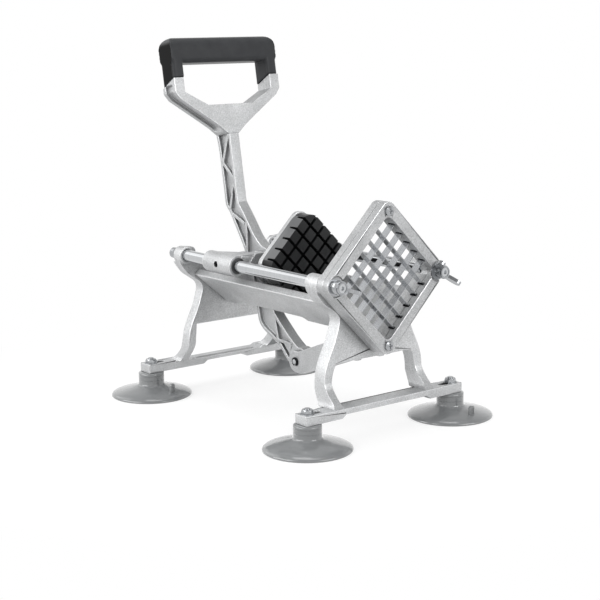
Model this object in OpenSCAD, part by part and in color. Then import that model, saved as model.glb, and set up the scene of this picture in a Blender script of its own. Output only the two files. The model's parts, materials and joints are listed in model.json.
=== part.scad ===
// Lever-operated French fry cutter.
// X points from the handle side to the blades, Y to the left, Z up from the table.
// The origin lies on the table, midway between the four suction cups.

/* [Overall] */
// Distance between the front and the rear suction cups
foot_span = 250; // [240:5:320]
// Distance between the left and the right suction cups
foot_track = 172; // [164:2:230]
// Height of the cutting axis above the table
axis_h = 142; // [140:1:180]
// Travel of the carriage from the raised handle to the finished cut
stroke = 105.4; // [70:0.1:112]

/* [Cut] */
// Width of one fry
pitch = 12.7; // [11:0.1:15.5]
// Fries across each side of the cut
cells = 6; // [6:1:6]
// Gap between the outer fries and the window of the blade frame
window_gap = 2.4; // [2:0.1:4]
// Thickness of a blade
blade_t = 0.8; // [0.5:0.05:1.2]
// Depth of a blade along the cut
blade_depth = 8; // [6:0.5:11]
// Depth of the blade ends in the frame
blade_seat = 4; // [2:0.5:6]

/* [Blade frame] */
// Thickness of the two frame halves together
frame_t = 16.5; // [14:0.5:22]
// Corner radius of the frame
frame_r = 9; // [6:0.5:12]
// Corner radius of the window
window_r = 6; // [3:0.5:8]
// Metal between a guide rod and the window corner, at the rod's centre
rod_offset = 3.3; // [3:0.1:8]
// Metal outside the guide rod's centre, to the frame's corner
frame_edge = 8; // [7:0.5:12]
// Depth of the spot face under each wing nut
spot_depth = 1.5; // [1:0.1:3]
// Diameter of the spot face
spot_d = 19; // [16:0.5:22]

/* [Guide rods] */
// Diameter of the guide rods
rod_d = 11; // [9:0.5:13]
// Diameter of the threaded rod ends
stud_d = 8; // [6:0.5:9]
// Radius of the castings round the rods
boss_r = 8.2; // [7.8:0.1:10]
// Depth of the rear boss along the rod
rear_boss_t = 11.9; // [10:0.1:16]
// Depth of the rear bosses' end faces in the rear casting
boss_inset = 3.7; // [1:0.1:5]
// Diameter of the screw hole in the ear beside each rear boss
ear_hole_d = 4.2; // [3:0.1:5]

/* [Castings] */
// Depth of the front casting
front_t = 14.4; // [12:0.2:20]
// Thickness of the front casting's web
web_t = 6.2; // [4:0.2:9]
// Height of the raised diamond pad on the front web
pad_t = 2.4; // [1:0.2:4]
// Width of the raised pad beside the food opening
pad_w = 8; // [5:0.5:10]
// Thickness of the rear casting
rear_t = 12; // [10:0.5:15]
// Front face of the front casting, behind the cups' axis
front_setback = 9.8; // [5:0.2:20]
// Rear face of the rear casting, in front of the cups' axis
rear_setback = 16; // [12:0.5:28]
// Top of the foot bars
bar_top = 32; // [30:0.5:36]
// Width of a foot bar
bar_w = 17; // [14:0.5:22]
// Thickness of a bar at its ends
bar_end_t = 8.7; // [7:0.1:9]
// Thickness of a bar in the middle
bar_mid_t = 5.3; // [4:0.1:7]
// Length of a bar beyond the cup's axis
bar_over = 7.5; // [6:0.5:12]
// Dip in the rear bar's top between the legs
bar_dip = 1.8; // [0.5:0.1:3]
// Width of the slot for the cup's stud
slot_w = 6.4; // [5:0.1:8]
// Length of the slot between the centres of its ends
slot_l = 12; // [8:0.5:16]

/* [Trough] */
// Distance of the trough walls from the cutting axis
trough_r = 42; // [39:0.5:46]
// Thickness of the trough wall at the rim
rim_t = 7.8; // [6:0.2:9]
// Thickness of the trough wall at the slot
floor_t = 3.8; // [3:0.2:6]
// Half the width of the lever slot along the trough's bottom
slot_half = 13.4; // [12.4:0.2:18]
// Half the width of the slot near the two castings
slot_end = 10; // [8:0.2:12]
// Gap between the rim and the guide rod's axis, across the machine
rim_gap = 16.4; // [15:0.2:20]

/* [Suction cups] */
// Diameter of a suction cup
cup_d = 80; // [60:1:82]
// Diameter of the cup's post
post_d = 25.5; // [20:0.5:30]
// Height of the cup's dome at the post
dome_h = 10.5; // [9:0.5:13]
// Diameter of the stud in a cup
cup_stud_d = 5; // [4:0.1:6]

/* [Pusher] */
// Length of the pusher's pins
pin_len = 9.1; // [7:0.1:12]
// Width of the grooves between the pins
groove = 1.6; // [1.4:0.1:2.5]
// Play of the pusher across the full width of the cut
pusher_play = 2; // [1:0.2:3]
// Thickness of the block behind the pins
base_t = 5.5; // [4:0.5:9]
// Thickness of the metal back plate
plate_t = 5; // [3:0.5:7]
// Length of the stand-offs behind the plate
standoff_l = 12; // [6:0.5:16]
// Diameter of the stand-offs
standoff_d = 8; // [6:0.5:9]

/* [Carriage] */
// Length of the sleeves on the rods
sleeve_l = 44.5; // [38:0.1:53]
// Outer diameter of the sleeves
sleeve_d = 20; // [19:0.5:24]
// Outer diameter of the bushings
bushing_d = 15; // [14:0.1:17]
// Thickness of the carriage's front flange
flange_t = 4; // [3:0.5:6]
// Thickness of the saddle between the sleeves
saddle_t = 7; // [5:0.5:9]
// Thickness of the cheeks beside the lever
cheek_t = 6; // [4:0.5:9]
// Radius of the cheeks round the lever's pivot
cheek_r = 12.5; // [10:0.5:14]
// Lever pivot behind the flange
pivot_back = 39; // [34:0.5:42]
// Lever pivot below the cutting axis
pivot_drop = 8; // [6:0.5:12]

/* [Lever] */
// Width of the lever across the machine
lever_w = 11.3; // [9:0.1:13]
// Thickness of the lever's web
lever_web = 4.3; // [3:0.1:6]
// Width of the rims round the lever's side pockets
lever_rim = 3.6; // [2.5:0.1:5]
// Diameter of the lever's pivot pin
pivot_d = 10; // [8:0.5:12]
// Forward reach of the lower arm from the pivot
arm_x = 59; // [52:0.5:64]
// Drop of the lower arm from the pivot
arm_z = 87.5; // [80:0.5:88]
// Radius of the arm's lower end
arm_r = 13; // [10:0.5:13.5]
// Outer width of the yoke at the grip
yoke_w = 126; // [115:1:140]
// Depth of the yoke
yoke_d = 22; // [18:0.5:26]
// Lean of the neck and the yoke
neck_lean = 9.8; // [5:0.1:15]

/* [Grip] */
// Width of a grip arm across the machine
grip_arm = 12.5; // [11:0.5:16]
// Depth of the grip
grip_d = 22; // [20:0.5:26]
// Height of the grip's crossbar
grip_bar = 25.5; // [22:0.5:28]
// Height of the grip's top above the yoke's base
grip_top = 98; // [94:0.5:110]
// Radius of the grip's upper corners
grip_r = 9; // [6:0.5:11]

/* [Link] */
// Thickness of each cheek of the link
link_cheek = 4.5; // [3:0.5:6]
// Radius of the link's ends
link_r = 10.5; // [9.5:0.5:12]
// Depth of the link below the line between its pins
link_low = 12.8; // [11:0.1:14]
// Height of the link above the line between its pins
link_high = 10; // [9:0.1:13]
// Length of the slot for the lever's end, from the pin
link_slot = 38; // [34:0.5:42]
// Diameter of the pins at the link's front end
link_pin_d = 8; // [6:0.5:10]
// Diameter of the pin at the lever's lower end
elbow_pin_d = 5; // [4:0.5:8]
// Anchor pin behind the front web
anchor_back = 21; // [16:0.5:24]
// Anchor pin below the food opening's lowest corner
anchor_drop = 10.1; // [8:0.1:14]

/* [Clearances] */
// Radial clearance of a turning or sliding fit
fit = 0.05; // [0.02:0.01:0.1]
// Side clearance between moving castings
side = 0.3; // [0.2:0.05:0.6]

/* [Hidden] */

cast = "#cfd0d1";
steel = "#dfe1e3";
zinc = "#b9bbbd";
black = "#26272a";
rubber = "#8f9194";

// Stations along X
foot_x = foot_span / 2;
front_x = foot_x - front_setback;
rear_x = -(foot_x - rear_setback);
boss_x = rear_x + boss_inset;
seat_x = front_x + pad_t;
frame_x = seat_x + frame_t;
blade_x = seat_x + (frame_t + blade_depth) / 2;
tip_x = blade_x - stroke;
plate_x = tip_x - pin_len - base_t - plate_t;
flange_x = plate_x - standoff_l;
sleeve_x = flange_x - 1.8;

// Stations across and up
window = cells * pitch + 2 * window_gap;
rod_y = window / sqrt(2) + rod_offset;
frame_half = rod_y + frame_edge + frame_r * (sqrt(2) - 1);
frame_w = frame_half * sqrt(2);
vee_z = axis_h - trough_r * sqrt(2);
trough_half = rod_y - rim_gap;
leg_y = rod_y - 1.9;
web_z = vee_z - 14.4;
foot_y = foot_track / 2;
ear_y = rod_y - 10.3;
ear_z = axis_h + 1.6;
ear_r = 5.2;
block_w = cells * pitch - pusher_play;

// Pivots
pivot = [flange_x - pivot_back, axis_h - pivot_drop];
elbow = pivot + [arm_x, -arm_z];
anchor = [front_x - web_t - anchor_back, vee_z - anchor_drop];
link_angle = atan2(anchor.y - elbow.y, anchor.x - elbow.x);
link_l = norm(anchor - elbow);
cheek_y = lever_w / 2 + side;
link_y = cheek_y + link_cheek;
lug_y = link_y + side;
lug_t = 6;
neck = pivot + [-48.3, 122.3];

// ---------- helpers ----------

// Lays a drawing of (Y, Z) across the machine, from x0 to x1
module along_x(x0, x1) {
    translate([x0, 0, 0]) rotate([90, 0, 90]) linear_extrude(x1 - x0) children();
}

// Lays a drawing of (X, Z) along the machine, from y0 to y1
module along_y(y0, y1) {
    translate([0, y1, 0]) rotate([90, 0, 0]) linear_extrude(y1 - y0) children();
}

// Both sides of the machine
module both() {
    for (s = [0, 1]) mirror([0, s, 0]) children();
}

// A rod-like cylinder along X from x0 to x1
module bar_x(d, x0, x1) {
    translate([x0, 0, 0]) rotate([0, 90, 0]) cylinder(d = d, h = x1 - x0, $fn = 48);
}

// A pin along Y through a point of the XZ plane
module pin_y(p, d, y0, y1) {
    translate([p.x, y1, p.y]) rotate([90, 0, 0]) cylinder(d = d, h = y1 - y0, $fn = 48);
}

// Square with true round corners
module rounded(w, r) {
    square([w - 2 * r, w], center = true);
    square([w, w - 2 * r], center = true);
    for (x = [-1, 1], y = [-1, 1]) translate([x, y] * (w / 2 - r)) circle(r, $fn = 48);
}

// The same square standing on its corner round the cutting axis
module diamond(w, r) {
    translate([0, axis_h]) rotate(45) rounded(w, r);
}

// Smooth curve through points, with n steps from each point to the next
function spline(p, n = 5) = concat(
    [for (i = [0 : len(p) - 2], k = [0 : n - 1])
        let (t = k / n, a = p[max(i - 1, 0)], b = p[i], c = p[i + 1], d = p[min(i + 2, len(p) - 1)])
        0.5 * (2 * b + (c - a) * t + (2 * a - 5 * b + 4 * c - d) * t * t
            + (3 * b - 3 * c + d - a) * t * t * t)],
    [p[len(p) - 1]]);

// Mirror image of a list of (Y, Z) points, in reverse order
function mirrored(p) = [for (i = [len(p) - 1 : -1 : 0]) [-p[i].x, p[i].y]];

// Closed outline moved to its left by d
function unit(v) = v / norm(v);
function inset(p, d) = [for (i = [0 : len(p) - 1])
    let (a = p[(i + len(p) - 1) % len(p)], b = p[i], c = p[(i + 1) % len(p)],
        u = unit(b - a), v = unit(c - b))
    b + [-(u.y + v.y), u.x + v.x] * d / (1 + u * v)];

// ---------- castings of the frame ----------

// Outer edge of a leg from the rod boss down to the foot bar
function leg_outer() = concat(
    [[rod_y + boss_r, axis_h]],
    spline([[rod_y + boss_r, axis_h - 2.5], [rod_y + 5.2, axis_h - 9], [rod_y - 2.4, axis_h - 18.7],
        [rod_y - 10.8, axis_h - 24.5], [rod_y - 17.6, axis_h - 29.6], [rod_y - 19.7, axis_h - 34.8],
        [rod_y - 18.8, axis_h - 40.9], [rod_y - 13.9, axis_h - 54.8], [rod_y - 7.7, axis_h - 67.6],
        [rod_y - 4.6, axis_h - 75], [rod_y - 2.8, axis_h - 82], [leg_y, axis_h - 91]], 3),
    spline([[leg_y, bar_top + 7], [leg_y + 0.5, bar_top + 2.5], [leg_y + 2.5, bar_top - 0.2]], 3));

// Inner edge of a leg beside its foot
function foot_inner() =
    spline([[leg_y - 10.6, bar_top - 0.2], [leg_y - 8.6, bar_top + 3], [leg_y - 8.2, bar_top + 8]], 3);

// Legs and web of the front casting, open in a V for the food
module front_outline() {
    half = concat(leg_outer(), foot_inner(), spline([[leg_y - 9, axis_h - 89],
        [leg_y - 10, axis_h - 83.4], [leg_y - 11.8, axis_h - 78], [leg_y - 14.2, web_z]], 3));
    vee = [[0, vee_z], [rod_y - boss_r, vee_z + rod_y - boss_r], [rod_y - boss_r, axis_h]];
    polygon(concat(half, mirrored(half), mirrored(vee), vee));
}

// Legs and closed plate of the rear casting
module rear_outline() {
    half = concat(leg_outer(), foot_inner(), spline([[leg_y - 8.3, axis_h - 97],
        [leg_y - 9.1, axis_h - 85.4], [leg_y - 9.9, axis_h - 77.3], [leg_y - 10.3, web_z + 2.9]], 3));
    top = [[0, axis_h - 7], [trough_half - 6, axis_h - 5], [rod_y - boss_r, axis_h]];
    polygon(concat(half, mirrored(half), mirrored(top), top));
}

// Side view of a front leg, flaring forward to its bar
module front_foot_side() {
    polygon(concat(
        [[front_x - front_t, axis_h + 30]],
        spline([[front_x - front_t, bar_top + 14], [front_x - front_t + 3, bar_top + 5.5],
            [front_x - front_t + 7.5, bar_top], [foot_x - bar_w / 2, bar_top - bar_mid_t]], 4),
        [[foot_x + bar_w / 2 - 2, bar_top - bar_mid_t]],
        spline([[foot_x + bar_w / 2 - 1.5, bar_top], [foot_x - 1, bar_top + 7.5],
            [front_x + 2.5, bar_top + 14.5], [front_x, bar_top + 20]], 4),
        [[front_x, axis_h + 30]]));
}

// Side view of a rear leg, flaring back to its bar
module rear_foot_side() {
    polygon(concat(
        [[rear_x + rear_t, axis_h + 30], [rear_x, axis_h + 30]],
        spline([[rear_x, bar_top + 26], [rear_x - 1, bar_top + 19], [rear_x - 3.9, bar_top + 12.7],
            [rear_x - 10.3, bar_top + 6.3], [-foot_x - bar_w / 2 + 6, bar_top],
            [-foot_x - bar_w / 2 + 4, bar_top - bar_mid_t]], 4),
        [[-foot_x + bar_w / 2 - 1, bar_top - bar_mid_t]],
        spline([[-foot_x + bar_w / 2 + 5, bar_top], [rear_x + 3.4, bar_top + 6.3],
            [rear_x + 8.9, bar_top + 12.7], [rear_x + rear_t, bar_top + 19]], 4)));
}

// Foot bar with thick ends; step is where the thick part ends on its underside,
// dip is how far the top lies lower between the legs
module foot_bar(x, step, dip = 0) {
    end_y = foot_y + bar_over;
    half = [[end_y, bar_top], [end_y, bar_top - bar_end_t], [step + 5, bar_top - bar_end_t],
        [step, bar_top - bar_mid_t]];
    intersection() {
        along_x(x - bar_w / 2, x + bar_w / 2) difference() {
            polygon(concat(half, mirrored(half)));
            if (dip > 0) polygon([[leg_y - 12, bar_top + 1], [leg_y - 12, bar_top],
                [leg_y - 15, bar_top - dip], [15 - leg_y, bar_top - dip], [12 - leg_y, bar_top],
                [12 - leg_y, bar_top + 1]]);
        }
        translate([x, 0, 0]) linear_extrude(bar_top + 1) union() {
            square([bar_w, 2 * end_y - 3], center = true);
            square([bar_w - 3, 2 * end_y], center = true);
            for (sx = [-1, 1], sy = [-1, 1])
                translate([sx * (bar_w / 2 - 1.5), sy * (end_y - 1.5)]) circle(1.5, $fn = 32);
        }
    }
}

// Slots for the cups' studs
module stud_slots(x) {
    both() for (y = [foot_y, foot_y - slot_l])
        translate([x, y, bar_top - bar_end_t - 1]) cylinder(d = slot_w, h = bar_end_t + 2, $fn = 32);
    both() translate([x - slot_w / 2, foot_y - slot_l, bar_top - bar_end_t - 1])
        cube([slot_w, slot_l, bar_end_t + 2]);
}

module front_frame() color(cast) difference() {
    union() {
        intersection() {
            along_x(front_x - front_t, foot_x + bar_w) front_outline();
            along_y(-rod_y * 2, rod_y * 2) front_foot_side();
        }
        foot_bar(foot_x, leg_y - 11.2);
        both() translate([0, rod_y, axis_h]) bar_x(2 * boss_r, front_x - front_t, seat_x);
        // raised pad round the lower half of the food opening
        intersection() {
            along_x(front_x - 1, seat_x) difference() {
                diamond(trough_r * 2 + 2 * pad_w, frame_r);
                translate([-frame_half, axis_h - 4]) square([2 * frame_half, frame_half]);
            }
            along_x(front_x - 1, seat_x) union() {
                front_outline();
                translate([-rod_y, web_z]) square([2 * rod_y, rod_y]);
            }
        }
        // lugs that hold the link's anchor pin
        both() along_y(lug_y, lug_y + lug_t) union() {
            translate(anchor) circle(9, $fn = 40);
            polygon([anchor + [0, 9], [front_x - web_t + 1, anchor.y + 9],
                [front_x - web_t + 1, anchor.y - 7], anchor + [3, -8.5], anchor + [0, -9]]);
        }
    }
    // hollow rear side of the web, between the legs and the trough's lip
    along_x(front_x - front_t - 1, front_x - web_t) difference() {
        polygon(concat([[0, web_z - 1], [leg_y - 15.5, web_z - 1], [rod_y - 21.5, axis_h - 50],
            [rod_y - 24.5, axis_h - 38]], [[slot_half + 8, vee_z + 4], [0, vee_z - 8]],
            [[-slot_half - 8, vee_z + 4]], mirrored([[leg_y - 15.5, web_z - 1],
            [rod_y - 21.5, axis_h - 50], [rod_y - 24.5, axis_h - 38]])));
        for (s = [-1, 1]) translate([s * (lug_y + lug_t / 2), anchor.y])
            square([lug_t, 26], center = true);
    }
    // food opening
    along_x(front_x - front_t - 1, seat_x + 1) translate([0, axis_h]) rotate(45)
        square(trough_r * 2, center = true);
    both() translate([0, rod_y, axis_h]) bar_x(rod_d + 2 * fit, front_x - front_t - 1, front_x);
    both() translate([0, rod_y, axis_h]) bar_x(stud_d + 2 * side, front_x - 1, seat_x + 1);
    both() pin_y(anchor, link_pin_d + 2 * fit, lug_y - 1, lug_y + lug_t + 1);
    stud_slots(foot_x);
}

module rear_frame() color(cast) difference() {
    union() {
        intersection() {
            along_x(-foot_x - bar_w, rear_x + rear_t) rear_outline();
            along_y(-rod_y * 2, rod_y * 2) rear_foot_side();
        }
        foot_bar(-foot_x, leg_y - 36.3, bar_dip);
        // bosses round the rods, with the ears beside them
        both() translate([0, rod_y, axis_h]) bar_x(2 * boss_r, boss_x, boss_x + rear_boss_t);
        both() along_x(boss_x, boss_x + 4.3) union() {
            translate([ear_y, ear_z]) circle(ear_r, $fn = 40);
            polygon([[ear_y - ear_r, ear_z], [ear_y - ear_r - 2, axis_h - 7], [rod_y, axis_h - 7],
                [rod_y, axis_h + boss_r], [ear_y, ear_z + ear_r]]);
        }
    }
    both() translate([0, rod_y, axis_h]) bar_x(2 * boss_r + 2, rear_x - 1, boss_x);
    both() translate([0, rod_y, axis_h]) bar_x(rod_d + 2 * fit, boss_x + 3.3, boss_x + 30);
    both() translate([0, rod_y, axis_h]) bar_x(stud_d + 2 * fit, rear_x - 1, boss_x + 4.3);
    both() translate([0, ear_y, ear_z]) bar_x(ear_hole_d, rear_x - 1, rear_x + 30);
    // holes beside the legs' feet
    both() translate([-foot_x + 4, leg_y - 21.4, bar_top - 12]) cylinder(d = 3.4, h = 20, $fn = 24);
    stud_slots(-foot_x);
}

// Section of one trough wall, from the slot up to the rounded rim
function wall_section() = [
    [slot_half, vee_z + slot_half],
    [slot_half + floor_t / sqrt(2), vee_z + slot_half - floor_t / sqrt(2)],
    [trough_half + rim_t / sqrt(2) - 1.6, vee_z + trough_half - rim_t / sqrt(2) - 1.2],
    [trough_half + rim_t / sqrt(2) - 0.3, vee_z + trough_half - rim_t / sqrt(2) - 0.5],
    [trough_half + rim_t / sqrt(2), vee_z + trough_half - rim_t / sqrt(2) + 0.6],
    [trough_half + 0.7, vee_z + trough_half - 0.7],
    [trough_half - 0.8, vee_z + trough_half - 0.8]];

// Section of the strip that narrows the slot near the castings
function strip_section() = let (f = floor_t / sqrt(2)) [
    [slot_end, vee_z + slot_end], [slot_end + f, vee_z + slot_end - f],
    [slot_half + f + 0.4, vee_z + slot_half - f + 0.4], [slot_half + 0.4, vee_z + slot_half + 0.4]];

module trough() color(cast) {
    x0 = rear_x + rear_t;
    x1 = front_x - front_t;
    y0 = slot_end - 1;
    y1 = slot_half + floor_t;
    both() along_x(x0, x1) polygon(wall_section());
    both() intersection() {
        along_x(x0, x1) polygon(strip_section());
        translate([0, 0, vee_z - 10]) linear_extrude(60) union() {
            polygon(concat([[x0 - 1, y1 + 9], [x0 - 1, y0]],
                spline([[x0 + 16, y0], [x0 + 22, slot_end + 1.5], [x0 + 32, slot_half + 1.4],
                [x0 + 40, y1]], 4), [[x0 + 40, y1 + 9]]));
            polygon(concat([[x1 + 1, y0], [x1 + 1, y1 + 9], [x1 - 72, y1 + 9]],
                spline([[x1 - 72, y1], [x1 - 68, slot_half + 1.6], [x1 - 64.5, slot_end + 1.8],
                [x1 - 61, y0]], 4)));
        }
    }
}

// ---------- rods and their fastenings ----------

module guide_rod() color(steel) difference() {
    translate([0, rod_y, axis_h]) union() {
        bar_x(rod_d, boss_x + 3.3, front_x);
        bar_x(stud_d, boss_x - 9, boss_x + 4.3);
        bar_x(stud_d, front_x - 1, frame_x + 9);
    }
    translate([frame_x + 7.5, rod_y, axis_h]) rotate([0, 90, 0]) cylinder(d = 4, h = 3, $fn = 6);
}
module guide_rod_left() guide_rod();
module guide_rod_right() mirror([0, 1, 0]) guide_rod();

module rod_end_nuts() color(zinc) both() translate([0, rod_y, axis_h]) difference() {
    union() {
        translate([boss_x - 4.5, 0, 0]) rotate([0, 90, 0]) cylinder(d = stud_d + 5.5, h = 4.5, $fn = 6);
        bar_x(stud_d + 2.6, boss_x - 11.4, boss_x - 2);
        translate([boss_x - 11.4, 0, 0]) rotate([0, 90, 0])
            cylinder(d1 = stud_d, d2 = stud_d + 2.6, h = 1.8, center = true, $fn = 48);
    }
    bar_x(stud_d + 2 * fit, boss_x - 9.5, boss_x + 1.3);
}

module wing_nut(side_y, turn) color(steel) translate([frame_x, side_y * rod_y, axis_h]) difference() {
    union() {
        bar_x(12.5, side - 0.2, 7.5);
        translate([4, 0, 0]) rotate([0, 90, 0]) cylinder(d1 = 12.5, d2 = 10.5, h = 5.5, $fn = 40);
        // two wings, rising forward from the hub
        for (a = [0, 180]) rotate([turn + a, 0, 0])
            translate([0, 0, -1.6]) linear_extrude(3.2)
                polygon(concat([[2, 0], [1.5, 5]], spline([[3.5, 8], [8, 13], [13.5, 16.5], [17, 16],
                    [17.5, 12.5], [14, 9], [9.5, 5.5]], 4), [[9, 0]]));
    }
    bar_x(stud_d + 2 * fit, -1, 20);
}
module wing_nut_left() wing_nut(1, -45);
module wing_nut_right() wing_nut(-1, 160);

module wing_nut_washers() color(zinc) both() translate([frame_x - spot_depth, rod_y, axis_h])
    difference() {
        bar_x(16, 0, spot_depth);
        bar_x(stud_d + 2 * side, -1, 3);
    }

// ---------- blade frame ----------

// Slots for one set of blade ends, from x0 to x1
module blade_slots(x0, x1) {
    half = window / 2;
    for (i = [1 : cells - 1], q = [0, 90]) along_x(x0, x1) translate([0, axis_h]) rotate(45 + q)
        translate([(i - cells / 2) * pitch, 0])
            square([blade_t + 0.2, 2 * (half + blade_seat + side)], center = true);
}

module frame_half_body(x0, x1) difference() {
    along_x(x0, x1) difference() {
        diamond(frame_w, frame_r);
        diamond(window, window_r);
    }
    both() translate([0, rod_y, axis_h]) bar_x(stud_d + 2 * side, x0 - 1, x1 + 1);
}

module blade_frame_front() color(cast) {
    mid = (seat_x + frame_x) / 2;
    difference() {
        frame_half_body(mid, frame_x);
        blade_slots(mid - 1, mid + blade_depth / 2 + 0.1);
        both() translate([0, rod_y, axis_h]) bar_x(spot_d, frame_x - spot_depth, frame_x + 1);
        for (s = [-1, 1]) translate([0, 0, axis_h + s * rod_y]) bar_x(5, mid - 1, frame_x + 1);
    }
}

module blade_frame_back() color(cast) {
    mid = (seat_x + frame_x) / 2;
    difference() {
        frame_half_body(seat_x, mid);
        blade_slots(mid - blade_depth / 2 - 0.1, mid + 1);
        for (s = [-1, 1]) translate([0, 0, axis_h + s * rod_y]) bar_x(4 + 2 * fit, mid - 7, mid + 1);
    }
}

// Blades leaning by 45 or -45 degrees; half of each blade's depth is notched for the others
module blades(turn, notch_x0, notch_x1) color(steel) {
    mid = (seat_x + frame_x) / 2;
    half = window / 2 + blade_seat;
    for (i = [1 : cells - 1]) translate([0, 0, axis_h]) rotate([turn, 0, 0]) difference() {
        translate([mid - blade_depth / 2, (i - cells / 2) * pitch - blade_t / 2, -half])
            cube([blade_depth, blade_t, 2 * half]);
        for (k = [1 : cells - 1])
            translate([notch_x0, (i - cells / 2) * pitch - 2, (k - cells / 2) * pitch - blade_t / 2 - 0.1])
                cube([notch_x1 - notch_x0, 4, blade_t + 0.2]);
    }
}
module blades_rising() {
    mid = (seat_x + frame_x) / 2;
    blades(45, mid - 0.1, mid + blade_depth);
}
module blades_falling() {
    mid = (seat_x + frame_x) / 2;
    blades(-45, mid - blade_depth, mid + 0.1);
}

module blade_frame_screws() color(zinc) for (s = [-1, 1])
    translate([0, 0, axis_h + s * rod_y]) difference() {
        union() {
            bar_x(9, frame_x, frame_x + 1.8);
            translate([frame_x + 1.8, 0, 0]) rotate([0, 90, 0]) cylinder(d1 = 9, d2 = 6, h = 1, $fn = 40);
            bar_x(4, (seat_x + frame_x) / 2 - 6, frame_x + 1);
        }
        for (q = [0, 90]) rotate([q, 0, 0]) translate([frame_x + 1.4, -2.4, -0.5]) cube([3, 4.8, 1]);
    }

// ---------- suction cups ----------

// Cup with its upright pull tab toward the angle given
module cup(x, y, tab) color(rubber) translate([x, y, 0]) difference() {
    top = bar_top - bar_end_t;
    r = cup_d / 2;
    union() {
        rotate_extrude($fn = 64) polygon(concat(
            [[0, 2.5], [r * 0.5, 2.1], [r * 0.88, 1.1], [r - 2.6, 0], [r - 0.4, 0]],
            spline([[r, 0.5], [r, 1.4], [r - 3.3, 4], [r - 9, 6.2], [r - 16, 7.9],
                [post_d / 2 + 4.5, dome_h - 1.2], [post_d / 2 + 0.8, dome_h], [post_d / 2, dome_h + 2]], 4),
            [[post_d / 2, top - 0.8], [post_d / 2 - 0.8, top], [0, top]]));
        rotate([0, 0, tab]) translate([r - 13, -3, 5]) union() {
            cube([2.6, 6, 7]);
            translate([0, 3, 7]) rotate([0, 90, 0]) cylinder(r = 3, h = 2.6, $fn = 32);
        }
    }
    translate([0, 0, 7]) cylinder(d = cup_stud_d + 2 * fit, h = 30, $fn = 32);
}
module cup_front_left() cup(foot_x, foot_y, 0);
module cup_front_right() cup(foot_x, -foot_y, 128);
module cup_rear_left() cup(-foot_x, foot_y, 60);
module cup_rear_right() cup(-foot_x, -foot_y, 13);

module at_cups() {
    for (x = [-foot_x, foot_x], y = [-foot_y, foot_y]) translate([x, y, 0]) children();
}

module cup_studs() color(zinc) at_cups()
    translate([0, 0, 7]) cylinder(d = cup_stud_d, h = bar_top - 7 + 5.4, $fn = 32);

module cup_nuts() color(zinc) at_cups() translate([0, 0, bar_top + 0.9]) difference() {
    intersection() {
        cylinder(d = 11, h = 3.4, $fn = 6);
        cylinder(d1 = 13.4, d2 = 9.2, h = 3.4, $fn = 40);
    }
    translate([0, 0, -1]) cylinder(d = cup_stud_d + 2 * fit, h = 6, $fn = 32);
}

module cup_washers() color(zinc) at_cups() translate([0, 0, bar_top]) difference() {
    cylinder(d = 12.5, h = 0.9, $fn = 40);
    translate([0, 0, -1]) cylinder(d = cup_stud_d + 2 * side, h = 3, $fn = 32);
}

module anchor_pins() color(steel) both() union() {
    pin_y(anchor, link_pin_d, lug_y, lug_y + lug_t + 1);
    pin_y(anchor, link_pin_d + 3.5, lug_y + lug_t, lug_y + lug_t + 1.6);
}

// ---------- carriage ----------

// Saddle between the sleeves, dipping toward the lever
module saddle_section() {
    top = spline([[0, axis_h + 3], [20, axis_h + 3.5], [30, axis_h + 5], [42, axis_h + 6.6],
        [rod_y - 4, axis_h + 8.6]], 4);
    bottom = [for (i = [len(top) - 1 : -1 : 0]) top[i] - [0, saddle_t]];
    half = concat(top, bottom);
    polygon(half);
    mirror([1, 0]) polygon(half);
}

// Side view of a cheek, from the flange back round the lever's pivot
module cheek_side() {
    translate(pivot) circle(cheek_r, $fn = 48);
    polygon([pivot + [0, cheek_r], [pivot.x, axis_h - 1], [flange_x - 1, axis_h - 1],
        [flange_x - 1, axis_h - 36], [flange_x - flange_t - 3, axis_h - 34],
        pivot + [8, -cheek_r + 3.2], pivot + [0, -cheek_r]]);
}

module carriage() color(cast) difference() {
    union() {
        both() translate([0, rod_y, axis_h]) bar_x(sleeve_d, sleeve_x - sleeve_l, sleeve_x);
        along_x(sleeve_x - sleeve_l, flange_x - 1) saddle_section();
        // front flange, a diamond cut off level with the sleeves' tops
        along_x(flange_x - flange_t, flange_x) intersection() {
            diamond(block_w - 3, 6);
            translate([-rod_y, 0]) square([2 * rod_y, axis_h + 10]);
        }
        both() along_y(cheek_y, cheek_y + cheek_t) cheek_side();
        // arms from the flange out to the sleeves
        both() along_x(sleeve_x - 8, sleeve_x) polygon([[34, axis_h + 10], [rod_y, axis_h + 10],
            [rod_y, axis_h - 10], [rod_y - 10, axis_h - 8], [40, axis_h - 8], [34, axis_h]]);
    }
    both() translate([0, rod_y, axis_h]) bar_x(bushing_d + 2 * fit, sleeve_x - sleeve_l - 1, sleeve_x + 1);
    // slot for the lever
    translate([pivot.x - 40, -cheek_y, axis_h - 60]) cube([40 + 19.5, 2 * cheek_y, 90]);
    both() pin_y(pivot, pivot_d + 2 * fit, 0, cheek_y + cheek_t + 1);
    both() pin_y(pivot, pivot_d + 7, cheek_y + cheek_t, cheek_y + cheek_t + 5);
    both() translate([sleeve_x - sleeve_l / 2, rod_y, axis_h]) rotate([-90, 0, 0])
        cylinder(d = 6, h = sleeve_d, $fn = 32);
}

module bushings() color(rubber) both() for (x = [sleeve_x - sleeve_l, sleeve_x - 16])
    translate([0, rod_y, axis_h]) difference() {
        bar_x(bushing_d, x + 1.5, x + 14.5);
        bar_x(rod_d + 2 * fit, x, x + 16);
    }

module set_screws() color(zinc) both()
    translate([sleeve_x - sleeve_l / 2, rod_y + bushing_d / 2 - 1.4, axis_h]) rotate([-90, 0, 0])
        difference() {
            cylinder(d = 6 - 2 * fit, h = 2.4, $fn = 32);
            translate([0, 0, 1]) cylinder(d = 3, h = 3, $fn = 6);
        }

// ---------- pusher ----------

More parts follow.
